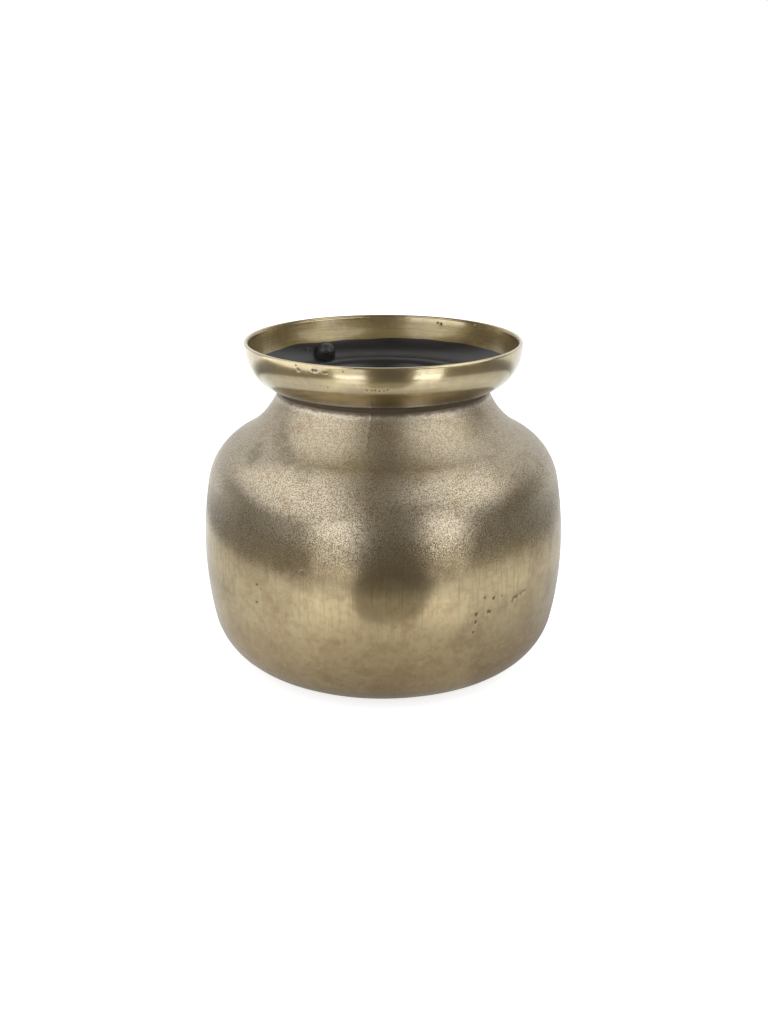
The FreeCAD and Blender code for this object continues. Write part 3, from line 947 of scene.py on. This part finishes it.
def brass(name, finish, spots=()):
    """Antique brass: patina, dark spots in the pits and stains, with cast grain or brush marks. Near the
    foot the brown is partly patina and partly painted shade; painted shade also darkens the crease under the
    collar and the collar's underside, and a painted highlight runs along the neck's toe.
    """
    material = bpy.data.materials.new(name)
    t = Tree(material)
    where, x, y, z = t.place()
    clouds = t.noise(where, CLOUD_SIZE, 3.0, 0.55)
    patch = t.noise(where, PATCH_SIZE, 6.0, 0.7)
    mottle = t.noise(where, MOTTLE_SIZE, 3.0, 0.6)
    smear = t.noise(t.tall(where, 2.2), SMEAR_SIZE, 6.0, 0.75)
    if finish.collar:
        brush = t.noise(t.lanes(x, y, z, 0.004), TURNING_SIZE, 2.0, 0.7)
    else:
        brush = t.noise(t.tall(where, 0.05), BRUSH_SIZE, 3.0, 0.65)
    color = t.mix(t.ramp(clouds, *CLOUD_BROWN), GOLD if finish.collar else BRASS, BROWN)
    color = t.mix(t.ramp(patch, *PATCH_BROWN), color, BROWN)
    color = t.mix(t.ramp(mottle, *MOTTLE_BROWN), color, BROWN)
    color = t.mix(t.ramp(mottle, *MOTTLE_PALE), color, PALE)
    color = t.mix(t.times(t.ramp(brush, *BRUSH_BROWN), t.ramp(z, *BRUSHED)), color, BROWN)
    # Browner towards the foot: partly patina, partly painted shade near the floor, with painted shade
    # heavier on the right and less brown in a band right of the middle
    less_brown = t.ramp(t.math("ABSOLUTE", t.less(x, LESS_BROWN_MIDDLE)), *LESS_BROWN_BAND)
    foot = t.times(t.ramp(z, *PATINA_AND_SHADE), t.plus(less_brown, t.ramp(x, *SHADED_RIGHT)))
    color = t.mix(t.times(foot, t.ramp(smear, *SMEAR_BROWN)), color, BROWN)
    # Darker towards the very bottom: painted contact shade
    color = t.mix(t.ramp(z, *CONTACT_SHADE), color, SOIL_AND_SHADE)
    rough = t.plus(finish.roughness, t.swing(brush, 0.10))
    rough = t.plus(rough, t.swing(mottle, 0.08))
    rough = t.plus(rough, t.times(foot, 0.14))
    height = t.times(brush, 0.05)
    dull = t.times(foot, 0.3)
    if finish.cast:
        level = t.plus(z, t.swing(clouds, CAST_WAVER))
        cast = t.ramp(level, *CAST_GRAIN)
        grain = t.noise(where, GRAIN_SIZE, 1.5, 0.6)
        hollow = t.times(cast, t.ramp(grain, *GRAIN_HOLLOWS))
        hollow = t.times(hollow, t.ramp(z, *WORN))
        peak = t.times(t.ramp(level, *CAST_PEAKS), t.ramp(grain, *GRAIN_PEAKS))
        peak = t.times(peak, t.ramp(patch, *PATCH_PEAKS))
        color = t.mix(t.times(hollow, 0.9), color, HOLLOW)
        color = t.mix(peak, color, PEAK)
        ragged_z = t.plus(z, t.swing(mottle, TOE_RAGGED))
        # Paler grain peaks along the neck's toe: a painted highlight
        toe = t.times(t.ramp(ragged_z, *TOE_HIGHLIGHT), t.ramp(grain, *GRAIN_PALE))
        color = t.mix(toe, color, PALE)
        # Darker band in the crease under the collar: painted shade
        crease = t.ramp(ragged_z, *CREASE_SHADE)
        color = t.mix(crease, color, SOIL_AND_SHADE)
        rough = t.plus(rough, t.times(t.ramp(level, *CAST_DULL), t.ramp(z, *CAST_ROUGH)))
        height = t.plus(height, t.times(cast, t.times(grain, 0.8)))
        dull = t.plus(t.plus(dull, t.times(crease, 0.5)), t.times(hollow, 0.35))
    if finish.collar:
        reach = t.length(t.less(t.length(x, y), COLLAR_ARC.r), t.less(z, COLLAR_ARC.z))
        inside = t.times(t.ramp(reach, *INNER_FACE), t.ramp(z, *BELOW_LIP))
        color = t.mix(t.times(inside, t.ramp(brush, *BRUSH_TARNISH)), color, TARNISH_AND_SHADE)
        # Browner on the collar's underside towards the neck: painted shade
        color = t.mix(t.ramp(z, *UNDERSIDE_SHADE), color, TARNISH_AND_SHADE)
        rough = t.plus(rough, t.times(inside, 0.155))
        gloss = t.less(0.9, t.times(inside, 0.6))
    stain = t.add("ShaderNodeAttribute", attribute_name="stain").outputs["Fac"]
    color = t.mix(t.times(stain, t.ramp(mottle, *STAIN_SOOT)), color, SOOT)
    if finish.soiled:
        color = t.mix(t.ramp(mottle, *WELD_SOIL), color, SOIL_AND_SHADE)
        rough = t.plus(rough, 0.25)
        dull = t.larger(dull, t.ramp(mottle, *WELD_DULL))
    if spots:
        pits = pit_mask(t, where, spots)
        color = t.mix(t.times(pits, 0.95 if finish.collar else 0.7), color, SOOT)
        rough = t.plus(rough, t.times(pits, 0.5))
        dull = t.larger(dull, pits)
    inputs = {
        "Base Color": color,
        "Metallic": t.less(1.0, dull),
        "Roughness": rough,
        "Normal": t.bump(height, 0.2 * MM),
    }
    if finish.collar:
        inputs.update({"Coat Weight": gloss, "Coat Roughness": 0.13, "Coat IOR": 2.1})
    t.out(t.add("ShaderNodeBsdfPrincipled", inputs))
    return material


def lacquer(name, colors, roughness):
    """Black brushed-on coat: streaks round the axis, satin gloss."""
    material = bpy.data.materials.new(name)
    t = Tree(material)
    where, x, y, z = t.place()
    brush = t.noise(t.lanes(x, y, z, 0.010), COAT_BRUSH_SIZE, 3.0, 0.65)
    cloud = t.noise(where, COAT_CLOUD_SIZE, 3.0, 0.5)
    uneven = t.plus(t.times(brush, 0.6), t.times(cloud, 0.4))
    inputs = {
        "Base Color": t.mix(t.ramp(brush, *COAT_STREAKS), *colors),
        "Roughness": t.ramp(uneven, 0.3, 0.7, roughness, roughness + 0.13),
        "Normal": t.bump(brush, 0.05 * MM),
        "Specular IOR Level": 0.78,
    }
    t.out(t.add("ShaderNodeBsdfPrincipled", inputs))
    return material


def felt(name):
    """Pressed wool felt."""
    material = bpy.data.materials.new(name)
    t = Tree(material)
    where = t.place()[0]
    hair = t.noise(t.tall(where, 0.4), HAIR_SIZE, 4.0, 0.7)
    cloud = t.noise(where, FELT_CLOUD_SIZE, 2.0, 0.5)
    dark, light, dusk = WOOLS
    color = t.mix(t.ramp(hair, *FELT_HAIRS), dark, light)
    color = t.mix(t.ramp(cloud, *FELT_DUSK), color, dusk)
    inputs = {"Base Color": color, "Roughness": 0.95, "Normal": t.bump(hair, 0.3 * MM)}
    t.out(t.add("ShaderNodeBsdfPrincipled", inputs))
    return material


# Pits near the girth are in both materials that meet there
LOW_SPOTS = spots_of([pit for pit in BODY_PITS if pit[1] < 130], body_place) + crack_spots()
HIGH_SPOTS = spots_of([pit for pit in BODY_PITS if pit[1] > 124], body_place)
COLLAR_SPOTS = spots_of(COLLAR_PITS, collar_place) + spots_of(RIM_PITS, rim_place)
BUFFED = brass("buffed_brass", Finish(0.165), LOW_SPOTS)
CAST = brass("cast_brass", Finish(0.20, cast=True), HIGH_SPOTS)
TURNED = brass("turned_brass", Finish(0.235, collar=True), COLLAR_SPOTS)
BEAD = brass("weld_brass", Finish(0.36, cast=True, soiled=True))
BLACK = lacquer("black_coat", BLACKS, 0.28)
# The lump gets a lighter black than the coat around it: a painted highlight
PAINT = lacquer("painted_lump", LUMP_HIGHLIGHT_BLACKS, 0.36)
FELT = felt("felt")

PIECES = (
    (make_bowl, BUFFED, "buffed_brass", "lower_bowl"),
    (make_girth_weld, BUFFED, "buffed_brass", "girth_weld"),
    (make_shoulder, CAST, "cast_brass", "shoulder_shell"),
    (make_collar, TURNED, "turned_brass", "rim_collar"),
    (make_neck_weld, BEAD, "weld_brass", "neck_weld"),
    (make_coat, BLACK, "black_coat", "waterproof_coat"),
    (make_lump, PAINT, "painted_lump", "casting_lump"),
    (make_pads, FELT, "felt", "felt_pads"),
)
for make, material, slot, node in PIECES:
    piece = make()
    piece.data.materials.append(material)
    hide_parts(node)
    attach(piece, "root")

# Studio: a pale table whose front edge has a gap, narrow lamps at the front and soft cards at the sides

FLOOR_HALF = 6.0
TABLE_CENTRE = (0.05, 0, 0)
TABLE_EDGE = (0.73, 0.67)
TABLE_BACK = (0.35, 0.8)
GAP_FRONT = (-0.382, -0.352)
GAP_LEFT = -0.075
GAP_RIGHT = 0.105
GAP_SLOPE = 2.2
GAP_ROUND = 0.08
BACKDROP = (0.39, 0.75)
BACKDROP_LEAN = 0.35

# Light and colour of the floor: where each fade begins and ends, and the level at each, 0 and 1 if not given
SEEN_AWAY = (0.25, 0.7, 0.8, 1.0)
LIT_AWAY = (0.25, 0.50, 0.0, 0.27)
LIT_LEFT = (-0.05, -0.4, 0.0, 0.28)
LIT_BACK = (0.15, 0.7, 0.0, 0.5)
ROOM_LEFT = (-0.4, -0.9, 0.11, 0.29)
ROOM_RIGHT = (0.4, 0.9, 0.0, 0.11)
ROOM_AWAY = (0.62, 0.5)
ROOM_NEAR = 0.40
COOL_ACROSS = (0.05, 0.3)
COOL_AWAY = (0.75, 0.6)
COOL_BACK = (-0.05, 0.3)
DIM_ACROSS = (-0.27, 0.0, 0.85, 0.30)
DIM_AWAY = (0.2, 0.55)

# Spots of light on the table: place and radiance
SPILLS = (((0.20, -0.35, 0), 0.60), ((-0.17, -0.37, 0), 0.40))
SPILL_RADIUS = 0.23

WHITE = (1, 1, 1, 1)
TABLE_COLOR = (0.8, 0.8, 0.8, 1)
DARK_COLOR = (0.07, 0.06, 0.05, 1)
ROOM_COLOR = (0.21, 0.183, 0.147, 1)
WARM = (1, 0.95, 0.86, 1)
COOL = (0.95, 0.98, 1, 1)
LAMP = (0.985, 1.0, 1.025)

# Lamps at the front: turn from the front, width, low end, high end and radiance
KEY_DISTANCE = 0.41
KEYS = {
    "key_left_foot": (-23, 0.16, 0.085, 0.14, 1.3),
    "key_left_low": (-23, 0.16, 0.163, 0.222, 3.1),
    "key_left_high": (-23, 0.16, 0.222, 0.385, 1.05),
    "key_right_foot": (31.1, 0.14, 0.09, 0.145, 0.95),
    "key_right_low": (31.1, 0.14, 0.163, 0.222, 3.3),
    "key_right_high": (31.1, 0.14, 0.222, 0.325, 1.8),
}

# Cards at the sides: lower edge (x, z), lean, length, near and far end, radiance and roll
CARDS = {
    "left_card": ((-0.395, 0.237), 34, 0.43, (-0.48, -0.02), 1.62, -16),
    "right_card": ((0.716, 0.49), 80, 0.58, (-0.52, 0.015), 1.6, 0),
    "right_low_card": ((0.478, 0.283), 34, 0.22, (-0.45, -0.15), 0.5, 0),
}

# Camera
SENSOR = 36.0
LENS = 50.263
CAMERA_RISE = 17.74
CAMERA_DISTANCE = 1.437
CAMERA_AIM = (0.0007, 0, 0.1573)


def make_floor():
    """Pale floor, white to the camera, with the object's shadow.

    Reflections see the lit table, spots of light on it, and a dark room past its edge and in its gap.
    """
    corners = [(-FLOOR_HALF, -FLOOR_HALF, 0), (FLOOR_HALF, -FLOOR_HALF, 0)]
    corners += [(FLOOR_HALF, FLOOR_HALF, 0), (-FLOOR_HALF, FLOOR_HALF, 0)]
    floor = new_piece("floor", corners, [(0, 1, 2, 3)])
    material = bpy.data.materials.new("floor")
    t = Tree(material)
    where, x, y, z = t.place()
    path = t.add("ShaderNodeLightPath").outputs
    camera = path["Is Camera Ray"]
    away = t.vector("LENGTH", where)["Value"]
    table = t.ramp(t.distance(where, TABLE_CENTRE), *TABLE_EDGE)
    right = t.less(x, GAP_RIGHT)
    left = t.times(t.less(GAP_LEFT, x), GAP_SLOPE)
    front = t.plus(y, t.math("SMOOTH_MAX", t.larger(left, right), 0.0, GAP_ROUND))
    table = t.times(table, t.ramp(front, *GAP_FRONT))
    table = t.larger(table, t.ramp(y, *TABLE_BACK))
    lit = t.plus(t.ramp(away, *LIT_AWAY), t.ramp(x, *LIT_LEFT))
    lit = t.plus(lit, t.ramp(y, *LIT_BACK))
    for centre, radiance in SPILLS:
        lit = t.plus(lit, t.ramp(t.distance(where, centre), SPILL_RADIUS, 0.0, 0.0, radiance))
    room = t.plus(t.ramp(x, *ROOM_LEFT), t.ramp(x, *ROOM_RIGHT))
    lit = t.larger(t.times(table, lit), t.ramp(away, *ROOM_AWAY, room, ROOM_NEAR))
    seen = t.times(camera, t.ramp(away, *SEEN_AWAY))
    glow = t.plus(seen, t.times(path["Is Glossy Ray"], lit))
    cool = t.times(t.ramp(t.math("ABSOLUTE", x), *COOL_ACROSS), t.ramp(away, *COOL_AWAY))
    cool = t.larger(cool, t.ramp(y, *COOL_BACK))
    tint = t.mix(camera, t.mix(cool, WARM, COOL), WHITE)
    # Floor colour darker near the object and most on its right, for all but camera rays: a painted shadow
    dim = t.ramp(away, *DIM_AWAY, t.ramp(x, *DIM_ACROSS), 1.0)
    pale = t.times(t.larger(camera, table), t.larger(camera, dim))
    diffuse = t.add("ShaderNodeBsdfDiffuse", {"Color": t.mix(pale, DARK_COLOR, TABLE_COLOR)})
    emission = t.add("ShaderNodeEmission", {"Color": tint, "Strength": glow})
    t.out(t.add("ShaderNodeAddShader", {0: diffuse.outputs[0], 1: emission.outputs[0]}))
    floor.data.materials.append(material)


def make_world():
    """White to the camera. Reflections see a dim room in front and a white backdrop behind."""
    world = bpy.data.worlds.new("studio")
    bpy.context.scene.world = world
    t = Tree(world)
    x, y, z = t.split(t.add("ShaderNodeTexCoord").outputs["Generated"])
    behind = t.ramp(t.plus(y, t.times(z, BACKDROP_LEAN)), *BACKDROP)
    camera = t.add("ShaderNodeLightPath").outputs["Is Camera Ray"]
    color = t.mix(t.larger(camera, behind), ROOM_COLOR, WHITE)
    t.out(t.add("ShaderNodeBackground", {"Color": color, "Strength": 1.0}), "ShaderNodeOutputWorld")


def panel(name, middle, aim, wide, tall, radiance, roll=0.0):
    """Soft panel at a place, facing the aim, with the given radiance. Roll turns it about its facing."""
    light = bpy.data.lights.new(name, "AREA")
    light.shape = "RECTANGLE"
    light.size = wide
    light.size_y = tall
    light.energy = radiance * pi * wide * tall
    light.color = LAMP
    lamp = bpy.data.objects.new(name, light)
    lamp.location = middle
    facing = (Vector(aim) - Vector(middle)).to_track_quat("-Z", "Y")
    lamp.rotation_euler = (facing @ Quaternion((0, 0, 1), radians(roll))).to_euler()
    lamp.visible_camera = False
    bpy.context.scene.collection.objects.link(lamp)


def front_panel(name, azimuth, wide, low, high, radiance):
    """Narrow upright panel close to the front. Azimuth is from the front, to the right."""
    turn = radians(azimuth)
    x, y, z = KEY_DISTANCE * sin(turn), -KEY_DISTANCE * cos(turn), (low + high) / 2
    panel(name, (x, y, z), (0, 0, z), wide, high - low, radiance)


def side_panel(name, edge, lean, tall, depths, radiance, roll):
    """Panel at one side, from its lower edge (x, z) up, leaning from upright towards the middle."""
    inward = -1 if edge[0] > 0 else 1
    rise, run = cos(radians(lean)), inward * sin(radians(lean))
    centre = Vector((edge[0] + run * tall / 2, sum(depths) / 2, edge[1] + rise * tall / 2))
    facing = Vector((inward * rise, 0, -abs(run)))
    panel(name, centre, centre + facing, depths[1] - depths[0], tall, radiance, roll)


def make_lamps():
    """Lamps at the front and cards at the sides."""
    for name, values in KEYS.items():
        front_panel(name, *values)
    for name, values in CARDS.items():
        side_panel(name, *values)


def make_camera():
    """Camera at the photograph's angle and distance."""
    data = bpy.data.cameras.new("camera")
    data.sensor_width = SENSOR
    data.lens = LENS
    camera = bpy.data.objects.new("camera", data)
    rise = radians(CAMERA_RISE)
    aim = Vector(CAMERA_AIM)
    camera.location = aim + CAMERA_DISTANCE * Vector((0, -cos(rise), sin(rise)))
    camera.rotation_euler = (aim - camera.location).to_track_quat("-Z", "Y").to_euler()
    bpy.context.scene.collection.objects.link(camera)
    bpy.context.scene.camera = camera


make_floor()
make_world()
make_camera()
make_lamps()
bpy.context.scene.view_settings.view_transform = "Standard"
